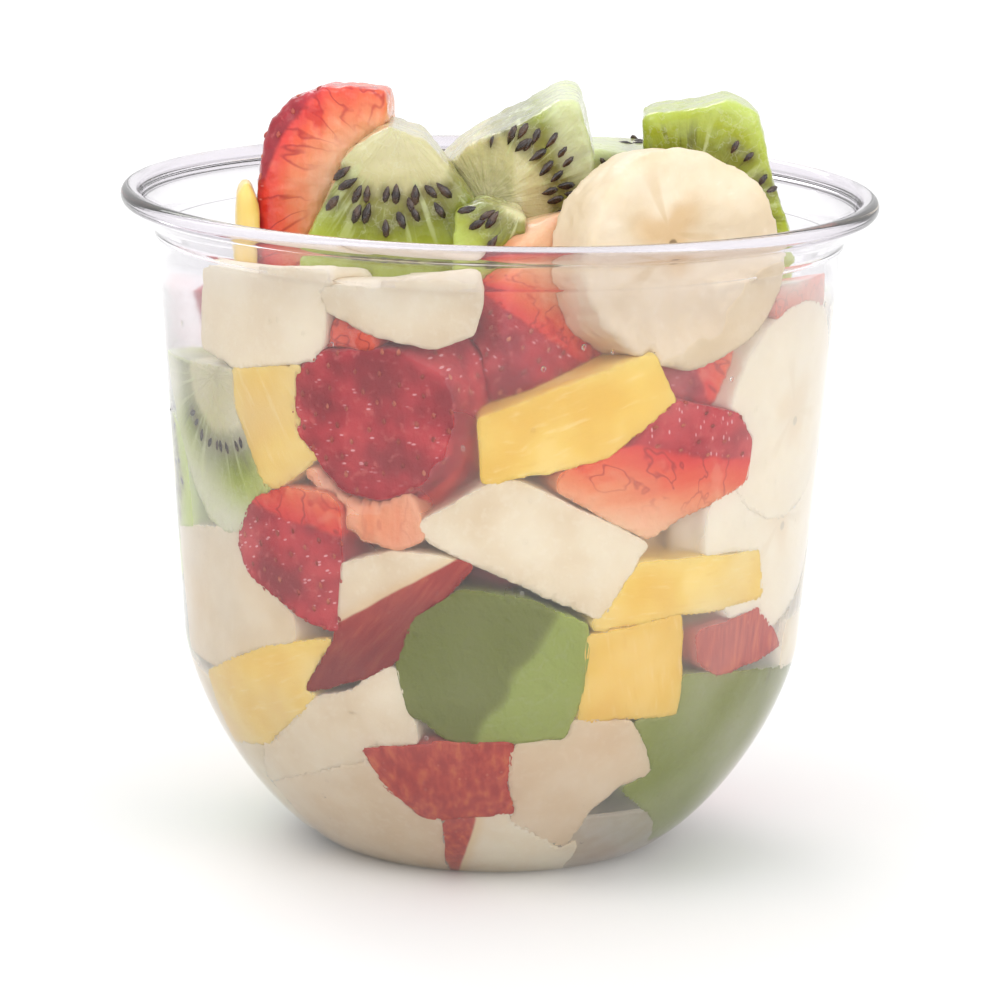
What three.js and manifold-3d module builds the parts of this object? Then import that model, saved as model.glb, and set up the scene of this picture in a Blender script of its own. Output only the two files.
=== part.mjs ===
// A clear round-bottomed cup filled with cut fruit.
// Millimetres, +Z up, origin at the middle of the foot, -Y is the front.
import * as THREE from "three";
import { mergeVertices } from "three/addons/utils/BufferGeometryUtils.js";
import Module from "manifold-3d";

const wasm = await Module();
wasm.setup();

// Driving dimensions of the cup.
const rimRadius = 49;
const cupHeight = 86;
const wall = 0.6;
const footRadius = 20;
const bowlRadius = 40.2;
const bowlHeight = 28;
const bowlRoundness = 1.45;
const neckRadius = 44.2;
const neckHeight = 79.6;
const ringStep = 0.45;
const flareRadius = 47.2;
const flareHeight = 83.6;
const cupSides = 40;

// Room left between neighbours, and how far the fruit may stand above the cup.
const gap = 0.3;
const heapTop = 130;
const outside = 47;

// Driving dimensions of the fruit.
const bananaRadius = 14;

const colours = {
  apple: 0xe8dcc2,
  appleSkin: 0xc05048,
  banana: 0xeadcbc,
  kiwi: 0x9aa83a,
  mango: 0xf0c860,
  strawberry: 0xb8404a,
};

function solidOf(geometry) {
  const bare = geometry.clone();
  bare.deleteAttribute("normal");
  bare.deleteAttribute("uv");
  const welded = mergeVertices(bare, 1e-4);
  return new wasm.Manifold(new wasm.Mesh({
    numProp: 3,
    vertProperties: new Float32Array(welded.attributes.position.array),
    triVerts: new Uint32Array(welded.index.array),
  }));
}

function geometryOf(solid) {
  const mesh = solid.getMesh();
  const geometry = new THREE.BufferGeometry();
  geometry.setAttribute("position", new THREE.BufferAttribute(mesh.vertProperties, 3));
  geometry.setIndex(new THREE.BufferAttribute(mesh.triVerts, 1));
  geometry.computeVertexNormals();
  return geometry;
}

// Turns a profile of [radius, height] points about the Z axis.
function turned(profile, sides) {
  const points = profile.map(([radius, height]) => new THREE.Vector2(radius, height));
  const geometry = new THREE.LatheGeometry(points, sides);
  geometry.rotateX(Math.PI / 2);
  return geometry;
}

// The round bottom and straight wall, moved in by an inset from the outer face.
function shellProfile(inset, top) {
  const steps = 7;
  const profile = [[0, inset]];
  for (let step = 0; step <= steps; step += 1) {
    const angle = (Math.PI / 2) * (step / steps);
    const across = Math.sin(angle) ** (2 / bowlRoundness);
    const down = Math.cos(angle) ** (2 / bowlRoundness);
    const radius = footRadius + (bowlRadius - footRadius) * across - inset;
    profile.push([radius, inset + (bowlHeight - inset) * (1 - down)]);
  }
  profile.push([neckRadius - inset, top]);
  return profile;
}

function cupProfile() {
  const outer = shellProfile(0, neckHeight);
  outer.push([neckRadius + ringStep, neckHeight + ringStep]);
  outer.push([neckRadius + ringStep, neckHeight + 2 * ringStep]);
  outer.push([flareRadius, flareHeight]);
  const beadRadius = (cupHeight - flareHeight) / 2;
  const beadSteps = 4;
  for (let step = 0; step <= beadSteps; step += 1) {
    const angle = Math.PI * (step / beadSteps - 0.5);
    const radius = rimRadius - beadRadius + beadRadius * Math.cos(angle);
    outer.push([radius, flareHeight + beadRadius + beadRadius * Math.sin(angle)]);
  }
  const inner = shellProfile(wall, neckHeight);
  inner.push([neckRadius + ringStep - wall, neckHeight + ringStep]);
  inner.push([neckRadius + ringStep - wall, neckHeight + 2 * ringStep]);
  inner.push([flareRadius - wall, flareHeight + wall]);
  inner.push([flareRadius - wall / 2, cupHeight - wall]);
  inner.push([flareRadius + wall, cupHeight]);
  return [...outer, ...inner.reverse()];
}

// The room for the fruit: the inside of the cup less the gap, carried on upwards.
function cavity() {
  const inset = wall + gap;
  const profile = shellProfile(inset, neckHeight);
  profile.push([neckRadius - inset, flareHeight - gap]);
  profile.push([flareRadius - inset, flareHeight + inset]);
  profile.push([flareRadius - inset, heapTop]);
  profile.push([0, heapTop]);
  return solidOf(turned(profile, cupSides));
}

// Moves every side of an outline out by a distance.
function widened(outline, distance) {
  const points = outline.map(([x, z]) => new THREE.Vector2(x, z));
  if (THREE.ShapeUtils.isClockWise(points)) {
    points.reverse();
  }
  const count = points.length;
  return points.map((point, index) => {
    const before = point.clone().sub(points[(index + count - 1) % count]).normalize();
    const after = points[(index + 1) % count].clone().sub(point).normalize();
    const side = new THREE.Vector2(before.y + after.y, -before.x - after.x);
    return side.multiplyScalar((2 * distance) / side.lengthSq()).add(point);
  });
}

// A piece cut along an outline of [x, z] points seen from the front. Its front lies at y = 0,
// and the back, depth behind it, is the outline scaled by taper about the origin.
function cutAlong(outline, depth, taper = 1) {
  return (grow) => {
    const shape = new THREE.Shape(widened(outline, grow));
    const whole = depth + 2 * grow;
    const geometry = new THREE.ExtrudeGeometry(shape, { depth: whole, bevelEnabled: false });
    geometry.rotateX(Math.PI / 2);
    geometry.translate(0, depth + grow, 0);
    const position = geometry.attributes.position;
    for (let index = 0; index < position.count; index += 1) {
      const back = (position.getY(index) + grow) / whole;
      const scale = 1 + (taper - 1) * back;
      position.setX(index, position.getX(index) * scale);
      position.setZ(index, position.getZ(index) * scale);
    }
    return solidOf(geometry);
  };
}

// A slice with the faint lobes of a banana, a little lower than it is wide.
function bananaSlice(radius, thickness, lowness = 1) {
  const sides = 20;
  const outline = [];
  for (let side = 0; side < sides; side += 1) {
    const angle = (2 * Math.PI * side) / sides;
    const lobed = radius * (1 + 0.022 * Math.cos(3 * angle + 0.6));
    outline.push([lobed * Math.cos(angle), lobed * lowness * Math.sin(angle)]);
  }
  return cutAlong(outline, thickness);
}

// A whole strawberry about the Z axis, shoulders up and nose down, less its cut-off parts.
function strawberry(length, width, cuts = []) {
  const steps = 6;
  return (grow) => {
    const profile = [];
    for (let step = 0; step <= steps; step += 1) {
      const angle = (Math.PI * step) / steps;
      const flank = Math.sin(angle) * (1 - 0.22 * Math.cos(angle));
      profile.push([(width / 2 + grow) * flank, -(length / 2 + grow) * Math.cos(angle)]);
    }
    return withCuts(solidOf(turned(profile, 12)), cuts, grow);
  };
}

// Each knife cut [x, y, z, offset] takes away all that lies further out than the offset.
function withCuts(solid, cuts, grow) {
  let left = solid;
  for (const [x, y, z, offset] of cuts) {
    const size = Math.hypot(x, y, z);
    left = left.trimByPlane([-x / size, -y / size, -z / size], -offset - grow);
  }
  return left;
}

const degrees = Math.PI / 180;

// A place in the cup: turn goes round the axis from the front towards +X, then x runs
// sideways, y inwards from the axis and z up; spin, lean and roll turn the piece on the spot.
function placeOf({ turn = 0, x = 0, y = 0, z = 0, spin = 0, lean = 0, roll = 0 }) {
  const round = new THREE.Matrix4().makeRotationZ(turn * degrees);
  const shift = new THREE.Matrix4().makeTranslation(x, y, z);
  const own = new THREE.Matrix4().makeRotationFromEuler(
    new THREE.Euler(lean * degrees, roll * degrees, spin * degrees, "ZXY"),
  );
  return round.multiply(shift).multiply(own);
}

const pieces = [];

function add(name, colour, shape, place) {
  pieces.push({ name, colour, shape, place: placeOf(place) });
}

// A piece pressed against the wall, reaching in from it until reach millimetres off the axis.
function addAtWall(name, colour, outline, reach, place, taper = 1) {
  const shape = cutAlong(outline, outside - reach, taper);
  add(name, colour, shape, { y: -outside, ...place });
}

// The pieces that lie against the front wall, in the order in which each cuts into the next.
function addFrontPieces() {
  addAtWall(
    "mango_slab_front", colours.mango,
    [[-14.4, 0.6], [-13.4, -8.6], [3.2, -4.9], [13, 2.6], [9.2, 9.4]],
    31, { turn: 15, z: 63 }, 0.75,
  );
  add(
    "strawberry_front", colours.strawberry, strawberry(28.5, 25.5, [[0, 0, 1, 10.5]]),
    { turn: -20, x: -0.8, y: -32.5, z: 62, lean: 8, roll: -6 },
  );
  add(
    "banana_slice_rim", colours.banana, bananaSlice(bananaRadius, 9, 0.94),
    { turn: 28, x: 4.7, y: -40.2, z: 82.5, lean: -7 },
  );
  addAtWall(
    "apple_wedge_front", colours.apple,
    [[-10.5, 2], [-9.5, -1], [-2.5, -3.5], [4.5, -5], [9.5, -3], [10.5, 1.5], [10, 6]],
    30, { turn: -15, z: 77, spin: 12 }, 0.8,
  );
  addAtWall(
    "apple_block_middle", colours.apple,
    [[-13.2, 1], [-11.8, -1], [10.6, -11.8], [17, -2], [-0.5, 7.2], [-3.5, 7.2]],
    27, { turn: 5, z: 49 }, 0.85,
  );
  addAtWall(
    "kiwi_chunk_middle", colours.kiwi,
    [
      [-12, -2], [-10.4, -8.4], [-5, -11.8], [9.8, -11.6], [12, -5],
      [12.4, 4], [4, 7.6], [-4, 8.8], [-9.8, 4.5],
    ],
    22, { turn: 0, z: 33.4 }, 0.85,
  );
  addAtWall(
    "mango_cube_low", colours.mango,
    [[-6, 4.5], [-5.5, -6], [8, -6.5], [7.5, 6.5]],
    25, { turn: 25, z: 31 },
  );
  addAtWall(
    "apple_skin_chunk_low", colours.appleSkin,
    [[-12.5, 4], [-9.5, -1.5], [-5, -5.5], [6, -4], [5, 0.5], [6.5, 7.5]],
    22, { turn: -5, z: 16 },
  );
  addAtWall(
    "mango_slab_left", colours.mango,
    [[-6.5, 5.5], [-6, 0.5], [-1.5, -8.5], [0.5, -8.5], [7, -4], [4, 2], [6.5, 8]],
    28, { turn: -40, z: 61, x: -1 },
  );
  addAtWall(
    "strawberry_left", colours.strawberry,
    [
      [-9, -0.5], [-8, 2.5], [-6.5, 5], [-5, 7], [0.5, 9], [7, 9.5],
      [9, 8], [9, 0], [8.5, -6], [8, -10], [2.5, -8.5], [-7, -4],
    ],
    26, { turn: -45, z: 44, x: 4, y: -46 }, 0.75,
  );
  addAtWall(
    "apple_chunk_left_top", colours.apple,
    [[-12, 6.5], [-13, -5], [-5.5, -6.5], [7.5, -4], [9, -1], [10, 9]],
    24, { turn: -40, z: 73, spin: 12 }, 0.8,
  );
  addAtWall(
    "strawberry_wedge_right", colours.strawberry,
    [[-14, 0.5], [-14, -1.5], [-1.5, -8.5], [3, -6], [14, -2.5], [14.5, 3], [11.5, 7], [1, 9.5]],
    22, { turn: 30, z: 56 }, 0.85,
  );
  addAtWall(
    "mango_bar_right", colours.mango,
    [[-11.5, -2], [-11, -3.5], [1, -2.5], [15, -2.5], [13.5, 4], [-6, 5], [-9.5, 2]],
    26, { turn: 35, z: 40 },
  );
  addAtWall(
    "apple_skin_chunk_right", colours.appleSkin,
    [[-4.5, 2.7], [-4, -1], [-0.5, -3.5], [13.5, -2], [6.5, 4.2]],
    29, { turn: 45, z: 32, x: 1 },
  );
  addAtWall(
    "apple_chunk_lobed", colours.apple,
    [
      [-10.5, 5], [-7.5, -6.5], [0.5, -11], [2, -5], [5, -2],
      [9, -0.5], [8, 2], [7, 4], [4.5, 7.5], [-2.5, 8],
    ],
    18, { turn: 20, z: 17 },
  );
  addAtWall(
    "kiwi_wedge_low", colours.kiwi,
    [[-17, 9], [-13, -3.5], [-4, -9], [2, -15], [22, -15], [22, 8], [-9, 12]],
    18, { turn: 50, z: 18 }, 0.85,
  );
  addAtWall(
    "apple_chunk_bottom", colours.apple,
    [[-8, 5], [-7, -2], [-4.5, -8], [6, -8], [9, 0.5], [0.5, 6]],
    6, { turn: 5, z: 6 },
  );
  addAtWall(
    "apple_wedge_red", colours.appleSkin,
    [[-4.5, 7], [-5, -3], [-10, -11.5], [-1, -8], [5, -4], [9, 2.5], [13, 8.5], [3, 9.5]],
    20, { turn: -20, z: 37, spin: 8 }, 0.85,
  );
  add(
    "strawberry_upper", colours.strawberry, strawberry(33, 24, [[0.2, -0.9, 0.6, 6.5]]),
    { turn: 8, x: 1, y: -27.5, z: 71.5, roll: 38, lean: 6 },
  );
  addAtWall(
    "strawberry_under_banana", colours.strawberry,
    [[-9, 5], [-6.5, -3], [-2, -6], [1, -4.5], [4, 1.5], [5, 6]],
    20, { turn: 40, z: 67, y: -40, spin: -8 },
  );
  addAtWall(
    "strawberry_chip_upper", colours.strawberry,
    [[-5, 0.5], [-1, -4], [7, -4], [7, 1.5], [-0.5, 4]],
    24, { turn: -30, z: 73, y: -41.5 },
  );
  addAtWall(
    "strawberry_slice_under", colours.strawberry,
    [[-8, 5], [-2.5, -2], [1.5, -5], [6, -5.5], [9.5, -3.5], [6, 6], [-2, 9]],
    22, { turn: -25, z: 52, y: -40 },
  );
  addAtWall(
    "mango_chunk_low_left", colours.mango,
    [[-15, -1], [-15, -11], [-3.5, -8.5], [5.5, -2], [12.5, 5], [12, 8.5], [0.5, 5.5]],
    24, { turn: -45, z: 26 }, 0.9,
  );
  addAtWall(
    "apple_chunk_low", colours.apple,
    [[-16, -11.5], [4.5, -4], [10.5, -1.5], [11, 8.5], [7, 8], [3, 4.5], [-5, 2.5], [-13, -4.5]],
    18, { turn: -30, z: 23 },
  );
  addAtWall(
    "apple_chunk_lowest", colours.apple,
    [[-18.5, 1.5], [-13, -9], [7.5, -9], [10, 1], [3, 4.5], [1.5, 9.5]],
    8, { turn: -25, z: 10 }, 0.9,
  );
  addAtWall(
    "kiwi_slice_left", colours.kiwi,
    [[-17.5, 10], [-13, 2], [-9, -4], [-3.5, -9], [0.5, -10], [7, -8], [9.5, -2], [6, 11.5]],
    27, { turn: -55, z: 55 },
  );
  addAtWall(
    "banana_chunk_left", colours.banana,
    [[-17, 6], [-14, -9], [-4, -9.5], [11.5, -4], [11.5, 0], [6, 4], [3, 10]],
    22, { turn: -55, z: 36 },
  );
  add(
    "banana_slice_right_upper", colours.banana, bananaSlice(bananaRadius, 10),
    { turn: 62, x: 0.5, y: -43.8, z: 61.2, lean: 3 },
  );
  add(
    "banana_slice_right_lower", colours.banana, bananaSlice(14.8, 11),
    { turn: 66, x: -3, y: -42.6, z: 47.5, lean: 5 },
  );
  addAtWall(
    "strawberry_cube_right", colours.strawberry,
    [[-6.5, 3], [-5, -3], [8, -4.5], [7, 3]],
    34, { turn: 61, z: 75.4 },
  );
  addAtWall(
    "mango_chunk_behind", colours.mango,
    [[-8, 8], [-8, -8], [8, -7], [8, 8]],
    12, { turn: -14, z: 25, y: -36 },
  );
  addAtWall(
    "strawberry_chunk_behind", colours.strawberry,
    [[-12, 7], [-11, -7], [11, -6], [12, 6]],
    10, { turn: -14, z: 46, y: -33 },
  );
  addAtWall(
    "banana_chunk_behind", colours.banana,
    [[-14, 8], [-14, -9], [6, -10], [8, 7]],
    10, { turn: 40, z: 46, y: -34 },
  );
}

// The heap that stands above the rim.
function addTopPieces() {
  add(
    "kiwi_chunk_top_left", colours.kiwi,
    cutAlong([
      [-11, -10], [-10, -6], [-7, 0], [-5, 5], [0, 8.7],
      [4.5, 7.2], [7.5, 3.5], [11.5, -2], [11.5, -10],
    ], 15, 0.92),
    { x: -14, y: -28, z: 88.6 },
  );
  add(
    "kiwi_chunk_top_small", colours.kiwi,
    cutAlong([[-4.2, -6], [-3.8, 2.5], [-0.5, 3.5], [4.5, 2.2], [5, -6]], 9, 0.9),
    { x: -1.5, y: -31.5, z: 85 },
  );
  add(
    "kiwi_wedge_top", colours.kiwi,
    (grow) => withCuts(
      cutAlong([
        [-12, -15], [-11.5, -2], [-6.5, 3], [-1.5, 6],
        [5, 9.5], [7, 9.5], [8.8, 2.5], [9.5, -15],
      ], 20)(grow),
      [[-0.62, -0.78, 0, 0.5], [0.5, -0.86, -0.1, 0.4]],
      grow,
    ),
    { x: 2.5, y: -20.5, z: 90.3 },
  );
  add(
    "strawberry_wedge_top", colours.strawberry,
    cutAlong([
      [-7, -15], [-7.3, -2], [-6.3, 3], [-3.4, 6.8], [0.6, 8.6],
      [8.6, 8.5], [8.9, 3.5], [6, -1], [5, -15],
    ], 11, 0.9),
    { x: -23.2, y: -20, z: 92.4, spin: -8 },
  );
  add(
    "kiwi_chunk_top_right", colours.kiwi,
    cutAlong([
      [-8.5, -13], [-8.5, -6], [-10.5, 8], [-3, 9], [0.5, 10],
      [3.8, 8.5], [4.8, 5.5], [6, 0], [8.8, -8], [8, -13],
    ], 15, 0.92),
    { x: 28.5, y: -10, z: 89 },
  );
  add(
    "kiwi_slice_top_back", colours.kiwi,
    cutAlong([[-6, -11], [-4.5, 3.5], [-2, 3.6], [4.5, 3.2], [7, -11]], 14),
    { x: 15, y: 6, z: 86.3 },
  );
  add(
    "mango_sliver_top", colours.mango,
    cutAlong([[-1, -10], [-1, 3.5], [0, 5], [1, 2], [1.5, -10]], 8, 0.9),
    { x: -31.6, y: -22, z: 84.3, spin: 4 },
  );
}

// The rest of the heap behind and inside, cut and packed as the front is.
function addBackPieces() {
  add(
    "banana_slice_back_top", colours.banana, bananaSlice(bananaRadius, 10),
    { turn: 172, x: -4, y: -42.5, z: 68, lean: 6 },
  );
  addAtWall(
    "mango_slab_back", colours.mango,
    [[-13, 5], [-12, -6], [12, -8], [13, 4], [2, 8]],
    22, { turn: 212, z: 66 },
  );
  add(
    "strawberry_back_left", colours.strawberry, strawberry(30, 25, [[0, 0, 1, 10]]),
    { turn: 240, x: -1, y: -30.5, z: 65, roll: 20 },
  );
  addAtWall(
    "apple_chunk_inner_left", colours.apple,
    [[-12, 9], [-13, -8], [0, -11], [12, -7], [12, 9]],
    12, { turn: 275, z: 66, y: -36 }, 0.9,
  );
  addAtWall(
    "kiwi_chunk_back_right", colours.kiwi,
    [[-12, 9], [-13, -6], [-2, -12], [12, -9], [13, 6], [4, 11]],
    19, { turn: 133, z: 64 }, 0.9,
  );
  addAtWall(
    "apple_chunk_back_right", colours.apple,
    [[-12, 10], [-13, -9], [3, -12], [13, -6], [12, 9]],
    18, { turn: 98, z: 63 }, 0.9,
  );
  addAtWall(
    "kiwi_wedge_back_left", colours.kiwi,
    [[-15, 8], [-13, -9], [2, -13], [14, -8], [13, 9], [0, 12]],
    17, { turn: 272, z: 47 }, 0.85,
  );
  addAtWall(
    "apple_skin_chunk_back", colours.appleSkin,
    [[-13, 8], [-12, -9], [4, -12], [13, -6], [12, 9]],
    16, { turn: 232, z: 43 }, 0.85,
  );
  add(
    "strawberry_back", colours.strawberry, strawberry(32, 25, [[0, 0, 1, 11]]),
    { turn: 192, x: -1, y: -30.5, z: 44, roll: -35 },
  );
  addAtWall(
    "banana_chunk_back", colours.banana,
    [[-12, 10], [-14, 0], [-10, -11], [3, -13], [13, -6], [12, 8], [3, 12]],
    18, { turn: 152, z: 42 },
  );
  addAtWall(
    "mango_chunk_back_right", colours.mango,
    [[-13, 9], [-13, -8], [12, -9], [14, 8]],
    19, { turn: 112, z: 40 }, 0.9,
  );
  addAtWall(
    "apple_chunk_low_right", colours.apple,
    [[-13, 9], [-14, -9], [14, -11], [13, 9]],
    12, { turn: 88, z: 24 }, 0.8,
  );
  addAtWall(
    "strawberry_chunk_low_back", colours.strawberry,
    [[-14, 10], [-13, -10], [13, -11], [14, 8], [0, 12]],
    9, { turn: 130, z: 18 }, 0.8,
  );
  addAtWall(
    "apple_chunk_low_back", colours.apple,
    [[-14, 10], [-13, -12], [14, -11], [13, 9]],
    9, { turn: 172, z: 19 }, 0.8,
  );
  addAtWall(
    "mango_chunk_low_back", colours.mango,
    [[-14, 9], [-14, -10], [13, -12], [14, 10]],
    9, { turn: 214, z: 19 }, 0.8,
  );
  addAtWall(
    "kiwi_chunk_low_back_left", colours.kiwi,
    [[-14, 10], [-14, -10], [13, -12], [14, 10]],
    9, { turn: 256, z: 17 }, 0.8,
  );
  addAtWall(
    "banana_chunk_low_left", colours.banana,
    [[-13, 9], [-12, -14], [12, -14], [14, 6]],
    10, { turn: 292, z: 17 }, 0.8,
  );
  add(
    "apple_chunk_top_back", colours.apple,
    cutAlong([[-13, -9], [-14, 3], [-6, 6], [8, 5], [22, -1], [23, -9]], 20, 0.9),
    { x: -14, y: 4, z: 79, spin: 8 },
  );
  add(
    "mango_chunk_core", colours.mango,
    cutAlong([[-13, -10], [-12, 9], [10, 10], [13, -9]], 24, 0.9),
    { x: 2, y: -14, z: 63, spin: -10 },
  );
}

// The largest body that is left when a piece has been cut by its neighbours.
function largestBody(solid) {
  const bodies = solid.decompose();
  bodies.sort((first, second) => second.volume() - first.volume());
  return bodies[0];
}

function boxesMeet(first, second) {
  const a = first.boundingBox();
  const b = second.boundingBox();
  return [0, 1, 2].every((axis) => a.min[axis] <= b.max[axis] && b.min[axis] <= a.max[axis]);
}

const fruitCup = new THREE.Group();

function addCup() {
  const material = new THREE.MeshStandardMaterial({ color: 0xf4f6f6, roughness: 0.12, metalness: 0 });
  const cup = new THREE.Mesh(turned(cupProfile(), cupSides), material);
  cup.name = "cup";
  fruitCup.add(cup);
}

function addFruit() {
  addFrontPieces();
  addTopPieces();
  addBackPieces();
  const room = cavity();
  const knives = [];
  for (const { name, colour, shape, place } of pieces) {
    let solid = shape(0).transform(place.elements).intersect(room);
    for (const knife of knives.filter((other) => boxesMeet(solid, other))) {
      solid = solid.subtract(knife);
    }
    knives.push(shape(gap).transform(place.elements));
    const own = largestBody(solid).transform(place.clone().invert().elements);
    const material = new THREE.MeshStandardMaterial({ color: colour, roughness: 0.45, metalness: 0 });
    const fruit = new THREE.Mesh(geometryOf(own), material);
    fruit.name = name;
    fruit.applyMatrix4(place);
    fruitCup.add(fruit);
  }
}

addCup();
addFruit();

export default fruitCup;
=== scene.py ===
import math
import random

import bmesh
import bpy
import numpy as np
from mathutils import Euler, Matrix, Vector, noise


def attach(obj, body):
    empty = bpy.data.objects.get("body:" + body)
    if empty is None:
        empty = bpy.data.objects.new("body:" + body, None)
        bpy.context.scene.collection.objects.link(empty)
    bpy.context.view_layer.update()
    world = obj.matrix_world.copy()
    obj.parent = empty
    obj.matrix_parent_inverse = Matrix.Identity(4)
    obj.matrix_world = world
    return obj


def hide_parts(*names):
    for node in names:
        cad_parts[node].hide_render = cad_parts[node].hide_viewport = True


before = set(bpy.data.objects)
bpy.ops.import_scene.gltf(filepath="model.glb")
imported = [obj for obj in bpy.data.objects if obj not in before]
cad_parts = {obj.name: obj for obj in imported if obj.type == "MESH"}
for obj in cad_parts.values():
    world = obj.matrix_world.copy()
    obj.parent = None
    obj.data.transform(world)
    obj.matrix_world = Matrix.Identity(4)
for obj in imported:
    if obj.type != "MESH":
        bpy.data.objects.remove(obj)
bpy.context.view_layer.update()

scene = bpy.context.scene
mm = 0.001


view = {
    "distance": 0.75,
    "elevation": 11.63,
    "aim": (0.00079, 0.0, 0.04479),
    "roll": 1.17,
    "lens": 206.7,
}


def addCamera():
    data = bpy.data.cameras.new("camera")
    data.lens = view["lens"]
    data.sensor_width = 36
    data.clip_start = 0.01
    data.clip_end = 50
    camera = bpy.data.objects.new("camera", data)
    tilt = math.radians(view["elevation"])
    roll = math.radians(view["roll"])
    ahead = Vector((0, math.cos(tilt), -math.sin(tilt)))
    level = Vector((1, 0, 0))
    upright = level.cross(ahead)
    right = level * math.cos(roll) + upright * math.sin(roll)
    up = upright * math.cos(roll) - level * math.sin(roll)
    place = Matrix((right, up, -ahead)).transposed().to_4x4()
    place.translation = Vector(view["aim"]) - ahead * view["distance"]
    camera.matrix_world = place
    scene.collection.objects.link(camera)
    scene.camera = camera


lights = {
    "sky": 1.1,
    "horizon": 0.86,
    "low": {"power": 2.3, "size": 0.9, "spot": (0.1, -1.2, 0.12)},
    "key": {"power": 3.6, "size": 0.8, "spot": (-0.7, -0.6, 1.25)},
    "fill": {"power": 3.4, "size": 0.8, "spot": (0.85, -0.8, 0.6)},
    "back": {"power": 3.0, "size": 0.6, "spot": (-0.35, 0.9, 0.9)},
}


def addLamp(name, settings):
    data = bpy.data.lights.new(name, "AREA")
    data.energy = settings["power"]
    data.size = settings["size"]
    lamp = bpy.data.objects.new(name, data)
    lamp.location = settings["spot"]
    lamp.rotation_euler = (-Vector(settings["spot"])).to_track_quat("-Z", "Y").to_euler()
    scene.collection.objects.link(lamp)


def addSky():
    world = bpy.data.worlds.new("studio")
    world.use_nodes = True
    nodes, links = world.node_tree.nodes, world.node_tree.links
    background = nodes["Background"]
    place = nodes.new("ShaderNodeTexCoord")
    split = nodes.new("ShaderNodeSeparateXYZ")
    ramp = nodes.new("ShaderNodeValToRGB")
    low, high = lights["horizon"], lights["sky"]
    ramp.color_ramp.elements[0].position = 0.0
    ramp.color_ramp.elements[0].color = (low, low, low, 1)
    ramp.color_ramp.elements[1].position = 0.45
    ramp.color_ramp.elements[1].color = (high, high, high, 1)
    links.new(place.outputs["Generated"], split.inputs[0])
    links.new(split.outputs["Z"], ramp.inputs[0])
    links.new(ramp.outputs[0], background.inputs["Color"])
    scene.world = world


def tone(red, green, blue):
    # screen values to a linear colour
    parts = [(part / 255) for part in (red, green, blue)]
    return (*[p / 12.92 if p <= 0.04045 else ((p + 0.055) / 1.055) ** 2.4 for p in parts], 1.0)


class Value:
    # the output of a node, usable in sums

    def __init__(self, finish, socket):
        self.finish = finish
        self.socket = socket

    def to(self, operation, *others, clamp=False):
        settings = {"operation": operation, "use_clamp": clamp}
        return self.finish.add("ShaderNodeMath", settings, [self, *others])

    def __add__(self, other):
        return self.to("ADD", other)

    __radd__ = __add__

    def __mul__(self, other):
        return self.to("MULTIPLY", other)

    __rmul__ = __mul__

    def __sub__(self, other):
        return self.to("SUBTRACT", other)

    def __rsub__(self, other):
        return self.finish.add("ShaderNodeMath", {"operation": "SUBTRACT"}, [other, self])

    def __truediv__(self, other):
        return self.to("DIVIDE", other)

    def step(self, low, high):
        # 0 below low, 1 above high, smooth between
        settings = {"interpolation_type": "SMOOTHSTEP"}
        return self.finish.add("ShaderNodeMapRange", settings, {0: self, 1: low, 2: high})


class Finish:
    # a material and its nodes

    def __init__(self, name, fixed):
        self.material = bpy.data.materials.new(name)
        self.material.use_nodes = True
        self.tree = self.material.node_tree
        self.shader = self.tree.nodes["Principled BSDF"]
        for socket, value in fixed.items():
            self.shader.inputs[socket].default_value = value

    def add(self, kind, settings, inputs, output=0):
        node = self.tree.nodes.new(kind)
        for key, value in settings.items():
            if key == "stops":
                ramp = node.color_ramp
                while len(ramp.elements) < len(value):
                    ramp.elements.new(0.5)
                for element, (position, colour) in zip(ramp.elements, value):
                    element.position = position
                    element.color = colour
            else:
                setattr(node, key, value)
        pairs = inputs.items() if isinstance(inputs, dict) else enumerate(inputs)
        for key, value in pairs:
            if isinstance(value, Value):
                self.tree.links.new(value.socket, node.inputs[key])
            else:
                node.inputs[key].default_value = value
        return Value(self, node.outputs[output])

    def into(self, socket, value):
        self.tree.links.new(value.socket, self.shader.inputs[socket])

    def place(self):
        return self.add("ShaderNodeTexCoord", {}, [], "Object")

    def attribute(self, name, output="Fac"):
        return self.add("ShaderNodeAttribute", {"attribute_name": name}, [], output)

    def stretched(self, vector, scale):
        return self.add("ShaderNodeMapping", {}, {"Vector": vector, "Scale": scale})

    def grain(self, vector, scale, detail=2.0, roughness=0.55):
        inputs = {"Vector": vector, "Scale": scale, "Detail": detail, "Roughness": roughness}
        return self.add("ShaderNodeTexNoise", {}, inputs)

    def cells(self, vector, scale, feature="F1"):
        return self.add("ShaderNodeTexVoronoi", {"feature": feature}, {"Vector": vector, "Scale": scale})

    def mix(self, factor, first, second, blend="MIX"):
        settings = {"data_type": "RGBA", "blend_type": blend}
        return self.add("ShaderNodeMix", settings, {0: factor, 6: first, 7: second}, 2)

    def ramp(self, value, stops):
        return self.add("ShaderNodeValToRGB", {"stops": stops}, [value])

    def parts(self, vector):
        split = self.add("ShaderNodeSeparateXYZ", {}, [vector])
        return [Value(self, socket) for socket in split.socket.node.outputs]

    def joined(self, x, y, z):
        return self.add("ShaderNodeCombineXYZ", {}, [x, y, z])

    def paintedMistVeil(self, colour):
        # painted veil: whitens the colour where mist and juice stand between the piece and the wall, for the light
        # they scatter
        return self.mix(self.attribute("haze"), colour, tone(226, 221, 210))

    def glaze(self, place, least, most):
        # a juicier coat above the rim, where no wall lies on the fruit
        height = self.parts(place)[2]
        self.into("Coat Weight", least + height.step(0.08, 0.088) * (most - least))

    def bump(self, height, strength, distance):
        inputs = {"Strength": strength, "Distance": distance, "Height": height}
        self.into("Normal", self.add("ShaderNodeBump", {}, inputs))


# "own" holds a place in the fruit's own frame, "skinDepth" how deep under its skin a point lies,
# both in millimetres, and "shade" how light the piece is: partly its own tone, partly painted light and shade.

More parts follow.
